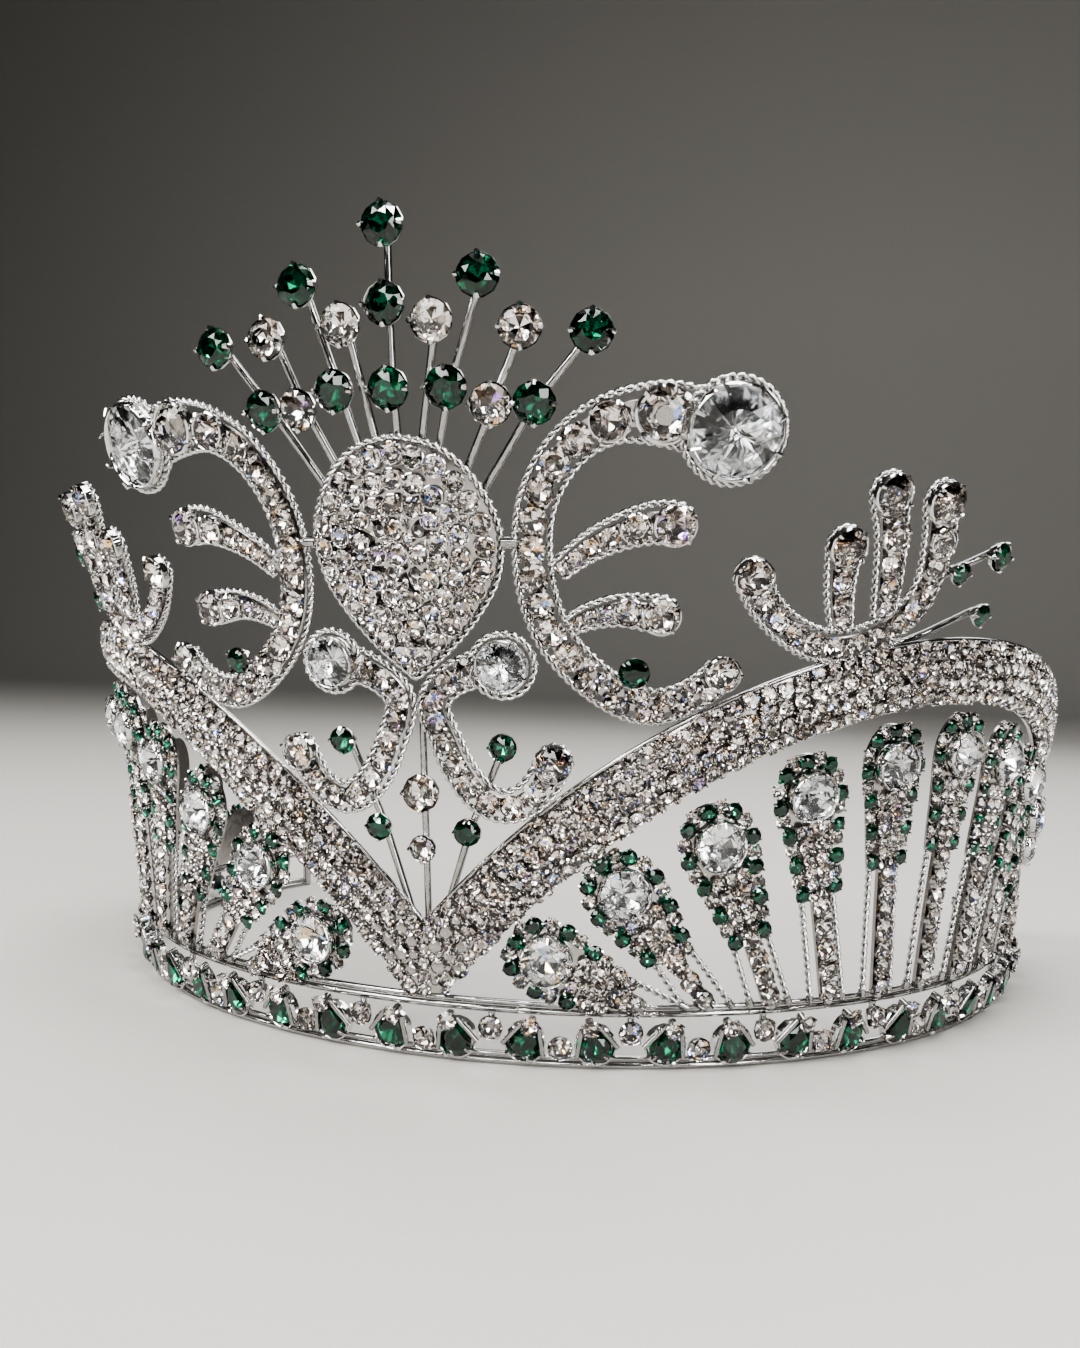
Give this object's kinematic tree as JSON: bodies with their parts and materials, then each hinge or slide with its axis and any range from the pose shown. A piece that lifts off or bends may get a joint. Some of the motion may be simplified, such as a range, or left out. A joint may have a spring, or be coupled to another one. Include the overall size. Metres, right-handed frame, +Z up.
{
  "type": "pageant crown",
  "caption": "Open-backed rhinestone crown with an arched pave ribbon, fanned torches, side scrolls and a pear plaque under a fan of stone-tipped rods.",
  "frame": {"origin": "centre of the bounding box at the surface that the crown stands on", "axes": "+Z up, the pear ornament at the front faces -Y, the open back faces +Y, +X to the wearer's left"},
  "size_m": [0.1756, 0.1372, 0.1111],
  "materials": {
    "rhodium_metal": "bright rhodium plating",
    "clear_crystal": "foil-backed clear cut crystal",
    "green_crystal": "foil-backed emerald green cut crystal"
  },
  "bodies": {
    "root": {"c_scroll_left": "rhodium_metal", "c_scroll_right": "rhodium_metal", "crest_left": "rhodium_metal", "crest_right": "rhodium_metal", "crest_spray_left_lower": "rhodium_metal", "crest_spray_left_upper": "rhodium_metal", "crest_spray_right_lower": "rhodium_metal", "crest_spray_right_upper": "rhodium_metal", "eye_stone_left": "clear_crystal", "eye_stone_right": "clear_crystal", "fan_centre": "green_crystal", "fan_inner_left": "clear_crystal", "fan_inner_right": "clear_crystal", "fan_middle_left": "clear_crystal", "fan_middle_right": "clear_crystal", "fan_outer_left": "green_crystal", "fan_outer_right": "green_crystal", "fan_tall_left": "green_crystal", "fan_tall_right": "green_crystal", "gallery": "rhodium_metal", "notch_sprays": "rhodium_metal", "pear_plaque": "rhodium_metal", "ribbon_left": "rhodium_metal", "ribbon_right": "rhodium_metal", "rivoli_left": "clear_crystal", "rivoli_right": "clear_crystal", "s_scrolls": "rhodium_metal", "torch_left_01": "rhodium_metal", "torch_left_02": "rhodium_metal", "torch_left_03": "rhodium_metal", "torch_left_04": "rhodium_metal", "torch_left_05": "rhodium_metal", "torch_left_06": "rhodium_metal", "torch_left_07": "rhodium_metal", "torch_left_08": "rhodium_metal", "torch_left_09": "rhodium_metal", "torch_left_10": "rhodium_metal", "torch_left_11": "rhodium_metal", "torch_right_01": "rhodium_metal", "torch_right_02": "rhodium_metal", "torch_right_03": "rhodium_metal", "torch_right_04": "rhodium_metal", "torch_right_05": "rhodium_metal", "torch_right_06": "rhodium_metal", "torch_right_07": "rhodium_metal", "torch_right_08": "rhodium_metal", "torch_right_09": "rhodium_metal", "torch_right_10": "rhodium_metal", "torch_right_11": "rhodium_metal"}
  },
  "joints": []
}
